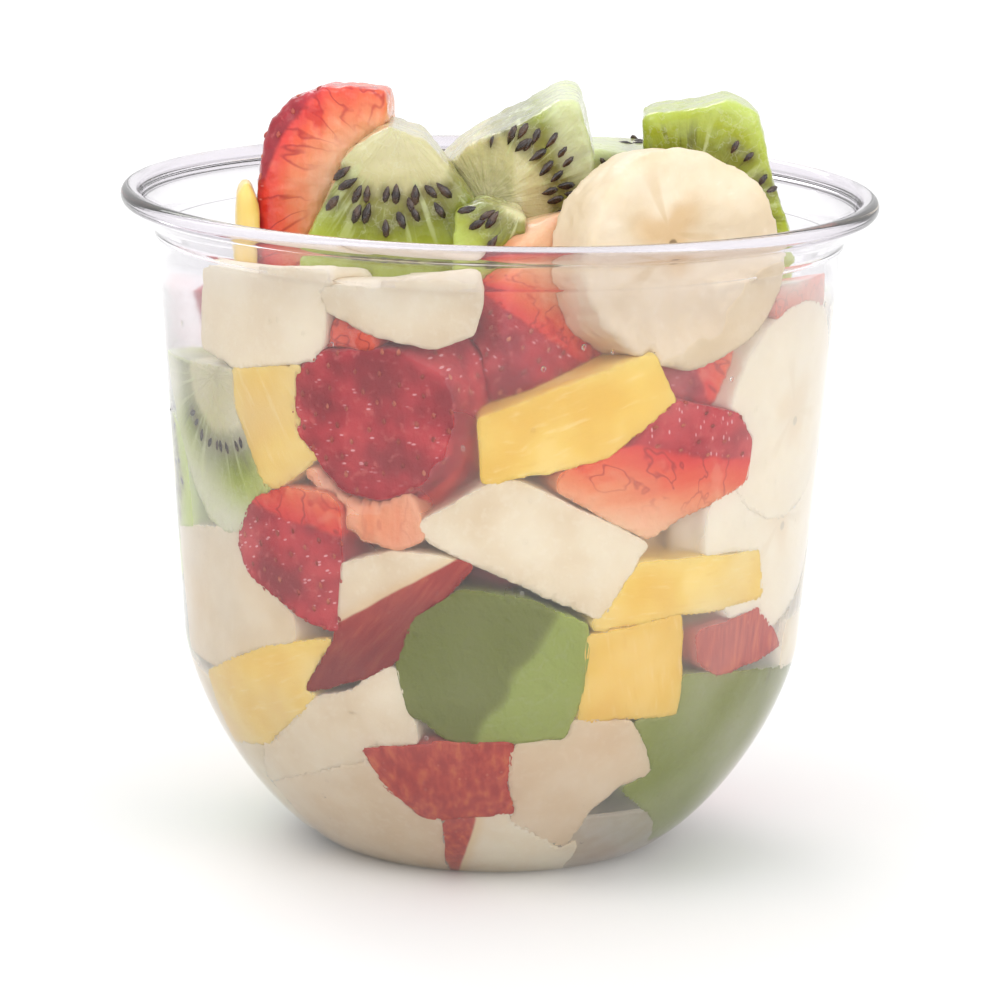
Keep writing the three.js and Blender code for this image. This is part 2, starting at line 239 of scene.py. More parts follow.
wet = {"Roughness": 0.3, "Coat Roughness": 0.07, "Specular IOR Level": 0.25}


def makeStrawberry():
    finish = Finish("strawberry", {
        **wet, "Subsurface Weight": 0.18, "Subsurface Radius": (1.0, 0.3, 0.2), "Subsurface Scale": 0.0015,
    })
    own = finish.attribute("own", "Vector")
    depth = finish.attribute("skinDepth")
    shade = finish.attribute("shade")
    place = finish.place()
    cloud = finish.grain(place, 160.0)
    fine = finish.grain(place, 900.0)
    fibres = finish.grain(finish.stretched(own, (0.7, 0.7, 0.1)), 1.0, 4.0)
    ragged = depth + (cloud - 0.5) * 2.4
    flesh = finish.ramp((ragged / 11).to("ADD", (fibres - 0.5) * 0.3, clamp=True), [
        (0.0, tone(206, 36, 40)),
        (0.14, tone(224, 66, 58)),
        (0.34, tone(230, 94, 60)),
        (0.6, tone(234, 142, 98)),
        (1.0, tone(240, 190, 152)),
    ])
    x, y, z = finish.parts(own)
    radius = (x * x + y * y + z * z).to("SQRT") + 0.5
    spread = finish.joined(x / radius * 3.6, y / radius * 3.6, z / radius * 3.6 + radius * 0.12)
    rays = finish.grain(spread, 1.0, 2.0)
    veins = (rays - 0.5).to("ABSOLUTE").step(0.03, 0.0) * ragged.step(10.0, 3.0) * 0.75
    flesh = finish.mix(veins, flesh, tone(172, 30, 34))
    pale = rays.step(0.56, 0.68) * 0.2
    flesh = finish.mix(pale, flesh, tone(248, 190, 160))
    blotch = finish.grain(place, 260.0, 2.0).step(0.6, 0.7) * ragged.step(8.0, 3.0) * 0.7
    flesh = finish.mix(blotch, flesh, tone(204, 24, 16))
    skin = finish.ramp(cloud.step(0.3, 0.72), [
        (0.0, tone(148, 24, 40)),
        (0.5, tone(180, 40, 54)),
        (1.0, tone(206, 66, 74)),
    ])
    skin = finish.mix((fine.step(0.55, 0.75)) * 0.35, skin, tone(222, 120, 116))
    # painted glints: small pale-pink flecks in the skin colour stand in for wet highlights
    paintedGlints = finish.cells(finish.stretched(own, (0.7, 0.7, 1.6)), 0.9).step(0.26, 0.12) * cloud.step(0.46, 0.56)
    skin = finish.mix(finish.attribute("seeded") * 0.3, skin, tone(120, 16, 34))
    skin = finish.mix(paintedGlints * 0.75, skin, tone(240, 186, 190))
    onSkin = ragged.step(1.35, 0.55)
    colour = finish.mix(onSkin, flesh, skin)
    # painted light and shade: the per-piece shade darkens or lightens the colour, partly the piece's own tone
    colour = finish.mix(shade.step(0.5, 0.0), colour, tone(122, 48, 52), "MULTIPLY")
    colour = finish.mix(shade.step(0.5, 1.0) * 0.6, colour, tone(244, 196, 178))
    finish.into("Base Color", finish.paintedMistVeil(colour))
    finish.into("Roughness", 0.24 + fine * 0.2)
    finish.bump(fine * 0.4 + fibres * 0.4 + cloud * 0.7, 0.7, 0.0007)
    finish.glaze(place, 0.06, 0.85)
    return finish.material


def makeKiwi():
    finish = Finish("kiwi", {
        **wet, "Subsurface Weight": 0.22, "Subsurface Radius": (0.7, 1.0, 0.25), "Subsurface Scale": 0.0016,
    })
    own = finish.attribute("own", "Vector")
    shade = finish.attribute("shade")
    place = finish.place()
    x, y, z = finish.parts(own)
    radius = (x * x + y * y).to("SQRT")
    spokes = finish.joined(x / (radius + 0.3) * 5.0, y / (radius + 0.3) * 5.0, z * 0.25 + radius * 0.06)
    rays = finish.grain(spokes, 1.6, 3.0)
    cloud = finish.grain(place, 150.0)
    fine = finish.grain(place, 800.0)
    reach = radius + (cloud - 0.5) * 2.0 + (rays - 0.5) * 1.6
    flesh = finish.ramp(reach / 22, [
        (0.0, tone(216, 208, 166)),
        (0.19, tone(204, 196, 144)),
        (0.225, tone(142, 140, 66)),
        (0.3, tone(126, 134, 30)),
        (0.39, tone(168, 180, 50)),
        (0.5, tone(188, 204, 100)),
        (1.0, tone(196, 210, 130)),
    ])
    pale = rays.step(0.54, 0.64) * reach.step(3.6, 4.6) * reach.step(9.5, 6.0) * 0.6
    flesh = finish.mix(pale, flesh, tone(212, 220, 164))
    dark = rays.step(0.44, 0.34) * reach.step(4.0, 5.0) * reach.step(9.0, 6.5) * 0.8
    flesh = finish.mix(dark, flesh, tone(96, 98, 26))
    seeded = finish.attribute("seeded")
    flesh = finish.mix(seeded * 0.8, flesh, tone(84, 68, 26))
    wisps = (finish.grain(place, 330.0, 4.0) - 0.5).to("ABSOLUTE").step(0.02, 0.0) * 0.16
    flesh = finish.mix(wisps, flesh, tone(228, 232, 204))
    # painted light and shade: the per-piece shade darkens or lightens the colour, partly the piece's own tone
    colour = finish.mix(shade.step(0.5, 0.0) * 0.85, flesh, tone(92, 94, 28))
    colour = finish.mix(shade.step(0.5, 1.0) * 0.7, colour, tone(222, 228, 190))
    finish.into("Base Color", finish.paintedMistVeil(colour))
    finish.into("Roughness", 0.2 + fine * 0.24)
    finish.bump(rays * 0.6 + fine * 0.35 + cloud * 0.6, 0.75, 0.0007)
    finish.glaze(place, 0.06, 0.85)
    return finish.material


def makeMango():
    finish = Finish("mango", {
        **wet, "Subsurface Weight": 0.15, "Subsurface Radius": (1.0, 0.7, 0.2), "Subsurface Scale": 0.0015,
    })
    own = finish.attribute("own", "Vector")
    shade = finish.attribute("shade")
    place = finish.place()
    cloud = finish.grain(place, 110.0)
    fine = finish.grain(place, 900.0)
    fibres = finish.grain(finish.stretched(own, (0.18, 1.2, 1.2)), 1.0, 4.0)
    flesh = finish.ramp(cloud.step(0.25, 0.75), [
        (0.0, tone(236, 196, 92)),
        (0.5, tone(241, 208, 110)),
        (1.0, tone(246, 219, 136)),
    ])
    flesh = finish.mix(fibres.step(0.55, 0.75) * 0.4, flesh, tone(249, 228, 168))
    flesh = finish.mix(fibres.step(0.42, 0.25) * 0.3, flesh, tone(230, 186, 88))
    # painted light and shade: the per-piece shade darkens or lightens the colour, partly the piece's own tone
    colour = finish.mix(shade.step(0.5, 0.0) * 0.8, flesh, tone(216, 166, 78))
    colour = finish.mix(shade.step(0.5, 1.0) * 0.6, colour, tone(250, 222, 120))
    finish.into("Base Color", finish.paintedMistVeil(colour))
    finish.into("Roughness", 0.26 + fine * 0.2)
    finish.bump(fibres * 0.6 + fine * 0.3, 0.35, 0.0003)
    finish.glaze(place, 0.05, 0.3)
    return finish.material


def makeBanana():
    finish = Finish("banana", {
        "Roughness": 0.4, "Coat Roughness": 0.2, "Specular IOR Level": 0.22,
        "Subsurface Weight": 0.15, "Subsurface Radius": (1.0, 0.8, 0.5), "Subsurface Scale": 0.0015,
    })
    own = finish.attribute("own", "Vector")
    shade = finish.attribute("shade")
    place = finish.place()
    x, y, z = finish.parts(own)
    radius = (x * x + y * y).to("SQRT")
    turn = y.to("ARCTAN2", x)
    lobes = (turn * 3.0 + 0.6).to("COSINE")
    cloud = finish.grain(place, 170.0)
    fine = finish.grain(place, 1100.0)
    spokes = finish.joined(x / (radius + 0.4) * 4.0, y / (radius + 0.4) * 4.0, radius * 0.3)
    rays = finish.grain(spokes, 2.2, 3.0)
    heart = (radius + (cloud - 0.5) * 3.0 + lobes * 1.2).step(5.6, 1.4)
    flesh = finish.ramp(cloud.step(0.25, 0.8), [
        (0.0, tone(224, 207, 176)),
        (0.5, tone(231, 216, 188)),
        (1.0, tone(237, 225, 201)),
    ])
    flesh = finish.mix(heart * 0.6, flesh, tone(208, 166, 102))
    seam = (lobes.step(0.86, 1.0)) * radius.step(9.0, 5.0) * radius.step(0.6, 2.0) * 0.35
    flesh = finish.mix(seam, flesh, tone(196, 164, 110))
    flesh = finish.mix(rays.step(0.6, 0.75) * radius.step(4.0, 8.0) * 0.3, flesh, tone(246, 238, 220))
    specks = ((x - 0.5) * (x - 0.5) + (y + 1.5) * (y + 1.5)).to("SQRT").step(0.75, 0.4)
    flesh = finish.mix(specks * 0.8, flesh, tone(84, 62, 34))
    # painted light and shade: the per-piece shade darkens or lightens the colour, partly the piece's own tone
    colour = finish.mix(shade.step(0.5, 0.0) * 0.8, flesh, tone(214, 180, 140))
    colour = finish.mix(shade.step(0.5, 1.0) * 0.8, colour, tone(248, 240, 224))
    finish.into("Base Color", finish.paintedMistVeil(colour))
    finish.into("Roughness", 0.34 + fine * 0.25)
    finish.bump(fine * 0.4 + rays * 0.4 + heart * 0.3 + specks * -0.6, 0.35, 0.0003)
    finish.glaze(place, 0.03, 0.12)
    return finish.material


def makeApple():
    finish = Finish("apple", {
        "Roughness": 0.4, "Coat Roughness": 0.15, "Specular IOR Level": 0.22,
        "Subsurface Weight": 0.12, "Subsurface Radius": (1.0, 0.8, 0.5), "Subsurface Scale": 0.0015,
    })
    own = finish.attribute("own", "Vector")
    depth = finish.attribute("skinDepth")
    shade = finish.attribute("shade")
    place = finish.place()
    cloud = finish.grain(place, 120.0)
    fine = finish.grain(place, 1000.0)
    streaks = finish.grain(finish.stretched(own, (0.9, 0.9, 0.12)), 1.0, 3.0)
    flesh = finish.ramp(cloud.step(0.25, 0.78), [
        (0.0, tone(226, 208, 178)),
        (0.5, tone(234, 220, 194)),
        (1.0, tone(240, 230, 208)),
    ])
    flesh = finish.mix(fine.step(0.5, 0.7) * 0.25, flesh, tone(244, 236, 218))
    flesh = finish.mix(depth.step(2.2, 0.6) * 0.4, flesh, tone(226, 196, 130))
    skin = finish.ramp(streaks.step(0.3, 0.7), [
        (0.0, tone(172, 56, 52)),
        (0.45, tone(188, 70, 60)),
        (0.8, tone(198, 84, 66)),
        (1.0, tone(206, 102, 70)),
    ])
    lenticels = finish.cells(own, 0.6).step(0.14, 0.07) * 0.2
    skin = finish.mix(lenticels, skin, tone(232, 178, 140))
    onSkin = (depth + (cloud - 0.5) * 0.7).step(0.75, 0.35)
    # painted light and shade: the per-piece shade darkens or lightens flesh and skin, partly the piece's own tone
    flesh = finish.mix(shade.step(0.5, 0.0) * 0.8, flesh, tone(208, 172, 136))
    flesh = finish.mix(shade.step(0.5, 1.0) * 0.8, flesh, tone(252, 240, 216))
    skin = finish.mix(shade.step(0.5, 0.0) * 0.85, skin, tone(110, 38, 42))
    colour = finish.mix(onSkin, flesh, skin)
    finish.into("Base Color", finish.paintedMistVeil(colour))
    finish.into("Roughness", 0.44 - onSkin * 0.2 + fine * 0.15)
    finish.bump(fine * 0.5 + cloud * 0.3, 0.3, 0.0003)
    finish.glaze(place, 0.04, 0.15)
    return finish.material


def makeKiwiSeed():
    finish = Finish("kiwiSeed", {
        "Roughness": 0.2, "Coat Weight": 0.5, "Coat Roughness": 0.08, "Specular IOR Level": 0.5,
    })
    place = finish.place()
    cloud = finish.grain(place, 700.0)
    fine = finish.grain(place, 3000.0)
    finish.into("Base Color", finish.ramp(cloud.step(0.3, 0.7), [
        (0.0, tone(28, 18, 14)),
        (0.6, tone(52, 34, 26)),
        (1.0, tone(82, 58, 42)),
    ]))
    finish.into("Roughness", 0.14 + fine * 0.3)
    finish.bump(fine, 0.3, 0.0001)
    return finish.material


def makeStrawberrySeed():
    finish = Finish("strawberrySeed", {
        "Roughness": 0.35, "Coat Weight": 0.3, "Coat Roughness": 0.15, "Specular IOR Level": 0.5,
    })
    place = finish.place()
    cloud = finish.grain(place, 500.0)
    fine = finish.grain(place, 3000.0)
    finish.into("Base Color", finish.ramp(cloud.step(0.3, 0.7), [
        (0.0, tone(150, 52, 46)),
        (0.6, tone(178, 78, 62)),
        (1.0, tone(200, 116, 90)),
    ]))
    finish.into("Roughness", 0.25 + fine * 0.3)
    finish.bump(fine, 0.3, 0.0001)
    return finish.material


clearCup = {
    "Base Color": (0.968, 0.964, 0.972, 1.0), "Transmission Weight": 1.0, "IOR": 1.5,
    "Specular IOR Level": 0.3,
}


def makeClear():
    finish = Finish("clearPlastic", clearCup)
    misted = finish.attribute("misted")
    place = finish.place()
    cloud = finish.grain(place, 60.0)
    fine = finish.grain(place, 700.0)
    mist = misted * (0.22 + cloud.step(0.3, 0.7) * 0.16)
    # painted shade: the base colour greys above 62 mm and more at the rim bead, for the darker surroundings seen
    # in the rim
    height = finish.parts(place)[2]
    paintedRimShade = finish.mix(height.step(0.062, 0.08), clearCup["Base Color"], tone(244, 242, 245))
    finish.into("Base Color", finish.mix(height.step(0.0825, 0.0845), paintedRimShade, tone(226, 221, 228)))
    finish.into("Roughness", 0.03 + mist)
    finish.bump(cloud + fine * 0.06, 0.05, 0.0004)
    return finish.material


def makeDroplet():
    finish = Finish("droplet", {
        "Base Color": (1.0, 1.0, 1.0, 1.0), "Transmission Weight": 1.0, "IOR": 1.33,
    })
    fine = finish.grain(finish.place(), 900.0)
    finish.into("Roughness", fine * 0.05)
    finish.bump(fine, 0.05, 0.0001)
    return finish.material


cup = {
    "rim": 49.0, "height": 86.0, "wall": 0.6, "foot": 20.0,
    "bowl": 40.2, "bowlTop": 28.0, "roundness": 1.45,
    "neck": 44.2, "neckTop": 79.6, "ring": 0.45,
    "flare": 47.2, "flareTop": 83.6, "sides": 180,
}


def shellLine(inset):
    # radius and height of the round bottom and straight wall
    steps = 26
    line = [(0.0, inset)]
    for step in range(steps + 1):
        angle = math.pi / 2 * step / steps
        across = math.sin(angle) ** (2 / cup["roundness"])
        down = max(0.0, math.cos(angle)) ** (2 / cup["roundness"])
        radius = cup["foot"] + (cup["bowl"] - cup["foot"]) * across - inset
        line.append((radius, inset + (cup["bowlTop"] - inset) * (1 - down)))
    rise = cup["neckTop"] - cup["bowlTop"]
    for step in range(1, 9):
        part = step / 8
        radius = cup["bowl"] + (cup["neck"] - cup["bowl"]) * part - inset
        line.append((radius, cup["bowlTop"] + rise * part))
    return line


def innerLine():
    ring, wall = cup["ring"], cup["wall"]
    line = shellLine(wall)
    neck, top = cup["neck"], cup["neckTop"]
    line += [(neck + ring * 0.8 - wall, top + ring * 0.6), (neck + ring - wall, top + ring * 1.2)]
    line += [(neck + ring * 1.2 - wall, top + ring * 2)]
    for step in range(1, 6):
        part = step / 5
        radius = neck + ring - wall + (cup["flare"] - neck - ring) * part ** 1.5
        line.append((radius, top + 2 * ring + (cup["flareTop"] + wall - top - 2 * ring) * part))
    line += [(cup["flare"] - wall * 0.7, cup["height"] - wall)]
    line += [(cup["flare"] - wall * 0.2, cup["height"] - wall * 0.25)]
    line += [(cup["flare"] + wall, cup["height"])]
    return line


def outerLine():
    ring = cup["ring"]
    neck, top = cup["neck"], cup["neckTop"]
    line = shellLine(0.0)
    line += [(neck + ring * 0.8, top + ring * 0.3), (neck + ring, top + ring)]
    line += [(neck + ring * 0.9, top + ring * 1.8)]
    for step in range(1, 6):
        part = step / 5
        radius = neck + ring + (cup["flare"] - neck - ring) * part ** 1.5
        line.append((radius, top + 2 * ring + (cup["flareTop"] - top - 2 * ring) * part))
    bead = (cup["height"] - cup["flareTop"]) / 2
    steps = 10
    for step in range(steps + 1):
        angle = math.pi * (step / steps - 0.5)
        radius = cup["rim"] - bead + bead * math.cos(angle)
        line.append((radius, cup["flareTop"] + bead + bead * math.sin(angle)))
    return line


def addCup(material):
    inner = innerLine()
    line = outerLine() + inner[::-1]
    shape = bmesh.new()
    chain = [shape.verts.new((radius * mm, 0, height * mm)) for radius, height in line]
    edges = [shape.edges.new(pair) for pair in zip(chain, chain[1:])]
    bmesh.ops.spin(
        shape, geom=chain + edges, cent=(0, 0, 0), axis=(0, 0, 1), angle=2 * math.pi,
        steps=cup["sides"], use_merge=True, use_normal_flip=False, use_duplicate=False,
    )
    bmesh.ops.remove_doubles(shape, verts=shape.verts, dist=1e-6)
    bmesh.ops.recalc_face_normals(shape, faces=shape.faces)
    misted = shape.verts.layers.float.new("misted")
    innerSide = [(radius, height) for radius, height in inner if height < cup["neckTop"]]
    rows = {(round(radius, 3), round(height, 3)) for radius, height in innerSide}
    for vertex in shape.verts:
        key = (round(math.hypot(vertex.co.x, vertex.co.y) / mm, 3), round(vertex.co.z / mm, 3))
        height = vertex.co.z / mm
        vertex[misted] = min(1.0, max(0.2, (76 - height) / 18)) if key in rows else 0.0
    return finishPiece("cup_wall", shape, material, "clear_cup", "cup")


def finishPiece(name, shape, material, slot, *nodes):
    mesh = bpy.data.meshes.new(name)
    shape.to_mesh(mesh)
    shape.free()
    return placePiece(name, mesh, material, slot, *nodes)


def placePiece(name, mesh, material, slot, *nodes):
    mesh.materials.clear()
    mesh.materials.append(material)
    mesh.shade_smooth()
    piece = bpy.data.objects.new(name, mesh)
    scene.collection.objects.link(piece)
    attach(piece, "root")
    if nodes:
        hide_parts(*nodes)
    return piece


def placeOf(turn=0, x=0, y=0, z=0, spin=0, lean=0, roll=0):
    # turn goes round the cup from the front towards +X, y runs inwards from the axis
    turns = Matrix.Rotation(math.radians(turn), 4, "Z")
    shift = Matrix.Translation(Vector((x, y, z)))
    own = Matrix.Rotation(math.radians(spin), 4, "Z")
    own = own @ Matrix.Rotation(math.radians(lean), 4, "X") @ Matrix.Rotation(math.radians(roll), 4, "Y")
    return turns @ shift @ own


# Where each piece lies in the fruit it was cut from: the frame's z is the fruit's own axis.
# size is the fruit's half width, half width and half length, for those that show skin.
# shade and blend are painted light and shade, partly each piece's own tone; haze is a painted veil of light
# scattered by mist and juice
cutFrom = {
    "apple_block_middle": {"shade": 0.42, "haze": 0.0},
    "apple_chunk_left_top": {"shade": 0.75, "haze": 0.08},
    "strawberry_front": {
        "turn": -20, "x": -0.8, "y": -32.5, "z": 62, "lean": 8, "roll": -6, "size": (12.9, 12.9, 15.5),
        "rind": 9, "shade": 0.5, "haze": 0.02,
    },
    "strawberry_left": {
        "turn": -45, "x": 1, "y": -27, "z": 41, "roll": -20, "skinSide": (0.2, 1.0, 42.5),
        "shade": 0.46, "haze": 0.04,
    },
    "strawberry_upper": {
        "turn": 8, "x": 1, "y": -27.5, "z": 71.5, "roll": 38, "lean": 6, "skinSide": (0.62, 0.78, 59.8),
        "shade": 0.5, "haze": 0.02, "ripe": 1.3,
    },
    "strawberry_wedge_right": {
        "turn": 30, "x": 2, "y": -34, "z": 48, "roll": 80, "skinSide": (-0.25, -0.97, -63.4),
        "ripe": 1.0, "shade": 0.5, "haze": 0.05,
    },
    "strawberry_under_banana": {
        "turn": 40, "x": -6, "y": -34, "z": 70, "skinSide": (0.9, 0.3, 42), "shade": 0.45, "haze": 0.1,
    },
    "strawberry_chip_upper": {
        "turn": -30, "x": 3, "y": -30, "z": 73, "deep": 3.2, "shade": 0.4, "haze": 0.1,
    },
    "strawberry_slice_under": {
        "turn": -25, "x": 4, "y": -30, "z": 58, "deep": 8, "shade": 0.55, "haze": 0.1,
    },
    "strawberry_wedge_top": {
        "x": -13.2, "y": -20, "z": 86, "size": (16.9, 60, 18.0), "ripe": 1.2, "shade": 0.5, "haze": 0.0,
        "peeled": 0.75, "grit": 4.0,
    },
    "strawberry_cube_right": {"turn": 61, "y": -34, "z": 70, "deep": 3, "shade": 0.6, "haze": 0.5},
    "strawberry_chunk_behind": {"turn": -14, "y": -20, "z": 46, "size": (14, 14, 14), "shade": 0.35},
    "strawberry_back_left": {
        "turn": 240, "x": -1, "y": -30.5, "z": 65, "roll": 20, "size": (12.6, 12.6, 15.6), "shade": 0.5,
    },
    "strawberry_back": {
        "turn": 192, "x": -1, "y": -30.5, "z": 44, "roll": -35, "size": (12.6, 12.6, 16.6),
        "shade": 0.5,
    },
    "strawberry_chunk_low_back": {"turn": 130, "y": -20, "z": 20, "size": (15, 20, 15), "shade": 0.5},
    "kiwi_chunk_top_left": {
        "x": -13, "y": -24, "z": 98, "lean": 90, "core": 8.8, "ring": (9.6, 14.2),
        "fans": [(11, 214, 306, 9.6, 1.25), (8, 222, 296, 12.2, 1.2)], "shade": 0.38, "grit": 2.5,
        "haze": 0.0,
    },
    "kiwi_chunk_top_small": {
        "x": 4, "y": -28, "z": 91, "lean": 90, "core": 4.6, "ring": (5, 8.4),
        "fans": [(3, 188, 224, 6.3, 1.15), (3, 196, 232, 8.6, 1.15)], "shade": 0.6, "grit": 2.5,
        "haze": 0.0,
    },
    "kiwi_wedge_top": {
        "x": -1.8, "y": -20, "z": 87, "lean": 90, "core": 8.0, "ring": (8.6, 12.2),
        "fans": [(10, 72, -22, 9.0, 1.25), (9, 66, -18, 11.2, 1.2), (4, 128, 86, 8.4, 0.8)],
        "shade": 0.58, "blend": (1.0, 0.4, 43.5, 3.0, 0.95), "grit": 2.5, "haze": 0.0,
    },
    "kiwi_chunk_top_right": {
        "x": 24, "y": -10, "z": 84, "lean": 90, "core": 6.4, "ring": (8, 11.5),
        "fans": [(4, 62, 18, 11.2, 1.0)], "shade": 0.5, "grit": 2.5, "haze": 0.0,
    },
    "kiwi_slice_top_back": {
        "x": 20, "y": 8, "z": 80, "lean": 90, "core": 5, "ring": (7, 11), "shade": 0.75,
    },
    "kiwi_slice_left": {
        "turn": -55, "y": -36, "z": 64, "lean": 80, "core": 7, "ring": (7.4, 11.5),
        "fans": [(9, 220, 300, 9.4, 0.95)], "shade": 0.4, "haze": 0.42,
    },
    # kiwi_chunk_middle: painted shade on its left face and painted light on its right facet, since the piece lies
    # flat on the wall
    "kiwi_chunk_middle": {
        "turn": -10, "y": -34, "z": 60, "x": -10, "lean": 60, "core": 11, "ring": (5, 9), "fans": [],
        "shade": 0.0, "blend": (0.875, -0.484, -12.89, 1.4, 0.22), "haze": 0.03, "grit": 2.0,
    },
    "kiwi_wedge_low": {
        "turn": 70, "y": -30, "z": 44, "lean": 50, "core": 11, "ring": (5, 9), "fans": [],
        "shade": 0.15, "haze": 0.12,
    },
    "kiwi_wedge_back_left": {
        "turn": 272, "y": -40, "z": 50, "lean": 80, "core": 5, "ring": (5.5, 10), "shade": 0.5,
    },
    "kiwi_chunk_back_right": {
        "turn": 133, "x": 2, "y": -40, "z": 64, "lean": 84, "core": 4.6, "ring": (5.2, 9.8),
        "shade": 0.5,
    },
    "kiwi_chunk_low_back_left": {
        "turn": 256, "y": -30, "z": 22, "lean": 70, "core": 4.6, "ring": (5.2, 9.8), "shade": 0.45,
    },
    "banana_slice_rim": {
        "turn": 28, "x": 2.5, "y": -40.2, "z": 86.0, "lean": 83, "shade": 0.34, "haze": 0.0,
        "swell": 2.2, "grit": 2.0,
    },
    "banana_slice_right_upper": {
        "turn": 62, "x": 0.5, "y": -43.8, "z": 61.2, "lean": 93, "shade": 0.85, "haze": 0.1,
    },
    "banana_slice_right_lower": {
        "turn": 66, "x": -3, "y": -42.6, "z": 47.5, "lean": 95, "shade": 0.85, "haze": 0.1,
    },
    "banana_slice_back_top": {"turn": 172, "x": -4, "y": -42.5, "z": 68, "lean": 96, "shade": 0.5},
    "banana_chunk_left": {"turn": -55, "y": -30, "z": 50, "lean": 20, "shade": 0.32, "haze": 0.25},
    "banana_chunk_behind": {"turn": 40, "y": -26, "z": 46, "lean": 30, "shade": 0.15},
    "banana_chunk_back": {"turn": 152, "y": -34, "z": 42, "lean": 88, "shade": 0.5},
    "banana_chunk_low_left": {"turn": 292, "y": -20, "z": 17, "lean": 20, "shade": 0.45},
    "apple_skin_chunk_low": {
        "turn": -5, "y": 4, "z": 30, "size": (40, 41, 41), "rind": 9, "shade": 0.55, "haze": 0.03,
    },
    "apple_skin_chunk_right": {
        "turn": 46, "y": 2, "z": 30, "size": (41, 42.2, 41), "rind": 9, "shade": 0.5, "haze": 0.1,
    },
    "apple_wedge_red": {
        "turn": -20, "x": -18, "y": -22, "z": 58, "spin": 8, "roll": 38, "shade": 0.42, "haze": 0.02,
        "skinSide": (-0.55, 0.84, 40.3), "blend": (0.5, -0.87, -44.0, 8.0, 0.12),
    },
    "apple_skin_chunk_back": {
        "turn": 232, "y": 3, "z": 42, "size": (44, 44.5, 44), "rind": 9, "shade": 0.5,
    },
    "apple_chunk_bottom": {"turn": 5, "x": 22, "y": -10, "z": 8, "size": (28.5, 60, 60), "shade": 0.5},
    "mango_slab_front": {
        "turn": 15, "z": 63, "roll": -20, "shade": 0.5, "blend": (1.0, 0.3, 34, 3, 0.75), "haze": 0.02,
    },
    "mango_slab_left": {"turn": -40, "z": 61, "roll": 60, "shade": 0.5, "haze": 0.18},
    "mango_bar_right": {"turn": 35, "z": 40, "shade": 0.42, "blend": (1.0, 0.4, 33, 6, 0.6), "haze": 0.14},
    "mango_cube_low": {"turn": 25, "z": 31, "roll": 80, "shade": 0.3, "haze": 0.05},
    "mango_chunk_low_left": {"turn": -45, "z": 26, "roll": -20, "shade": 0.45, "haze": 0.12},
    "mango_sliver_top": {"z": 84, "roll": 80, "shade": 0.6},
    "mango_chunk_behind": {"shade": 0.2},
    "apple_chunk_low": {"shade": 0.36},
    "apple_chunk_lowest": {"shade": 0.3},
    "apple_chunk_lobed": {"shade": 0.25},
}

cutShape = {
    "voxel": 0.6, "smoothing": 3, "grow": 0.36, "swell": 0.3, "swellSize": 0.16, "grit": 0.08, "gritSize": 0.8,
    "reach": 0.14, "press": 1.9, "patches": 0.5, "fade": 1.2,
}


def innerWall():
    return np.array(innerLine(), dtype=float)


def towardsWall(points, line):
    # distance to the inner wall (negative beyond it), the way to it and its outward normal
    radius = np.hypot(points[:, 0], points[:, 1])
    spot = np.stack([radius, points[:, 2]], 1)
    best = np.full(len(points), 1e9)
    aim = np.zeros((len(points), 2))
    normal = np.zeros((len(points), 2))
    for start, end in zip(line[:-1], line[1:]):
        run = end - start
        share = np.clip(((spot - start) @ run) / (run @ run), 0, 1)
        away = start + share[:, None] * run - spot
        length = np.hypot(away[:, 0], away[:, 1])
        closer = length < best
        best[closer] = length[closer]
        aim[closer] = away[closer]
        normal[closer] = np.array([run[1], -run[0]]) / np.hypot(*run)
    inside = (aim * normal).sum(axis=1) >= 0
    return np.where(inside, best, -best), aim, normal


def pressToWall(points, line):
    # points that lie just inside the wall are moved until they reach a little into it
    best, aim, normal = towardsWall(points, line)
    patchy = np.array([noise.noise(Vector(point) * 0.35) if near else 0 for point, near in zip(points, best < 3)])
    push = np.clip((cutShape["press"] + patchy * cutShape["patches"] - best) / cutShape["fade"], 0, 1)
    push = push * push * (3 - 2 * push)
    shift = (aim + normal * cutShape["reach"]) * push[:, None]
    outward = points[:, :2] / np.maximum(np.hypot(points[:, 0], points[:, 1]), 1e-6)[:, None]
    moved = points.copy()
    moved[:, :2] += outward * shift[:, :1]
    moved[:, 2] += shift[:, 1]
    return moved


def kindOf(name):
    return name.split("_")[0]


slots = {
    "strawberry": "strawberry_flesh", "kiwi": "kiwi_flesh", "mango": "mango_flesh",
    "banana": "banana_flesh", "apple": "apple_flesh",
}


def slotOf(name):
    if name.startswith("apple_skin") or name == "apple_wedge_red":
        return "apple_skin"
    return slots[kindOf(name)]


def remeshed(names):
    # an even, softly rounded copy of each solid
    rough = {}
    for name in names:
        shape = bmesh.new()
        shape.from_mesh(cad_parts[name].data)
        bmesh.ops.remove_doubles(shape, verts=shape.verts, dist=2e-6)
        mesh = bpy.data.meshes.new(name + "_rough")
        shape.to_mesh(mesh)
        shape.free()
        piece = bpy.data.objects.new(name + "_rough", mesh)
        scene.collection.objects.link(piece)
        remesh = piece.modifiers.new("even", "REMESH")
        remesh.mode = "VOXEL"
        remesh.voxel_size = cutShape["voxel"] * mm
        rounded = piece.modifiers.new("rounded", "SMOOTH")
        rounded.factor = 0.5
        rounded.iterations = cutShape["smoothing"]
        rough[name] = piece
    graph = bpy.context.evaluated_depsgraph_get()
    made = {}
    for name, piece in rough.items():
        made[name] = bpy.data.meshes.new_from_object(piece.evaluated_get(graph))
        made[name].name = name + "_cut"
    for piece in rough.values():
        old = piece.data
        bpy.data.objects.remove(piece)
        bpy.data.meshes.remove(old)
    return made


def pointsOf(mesh, what="co"):
    values = np.empty(len(mesh.vertices) * 3)
    mesh.vertices.foreach_get(what, values)
    return values.reshape(-1, 3)


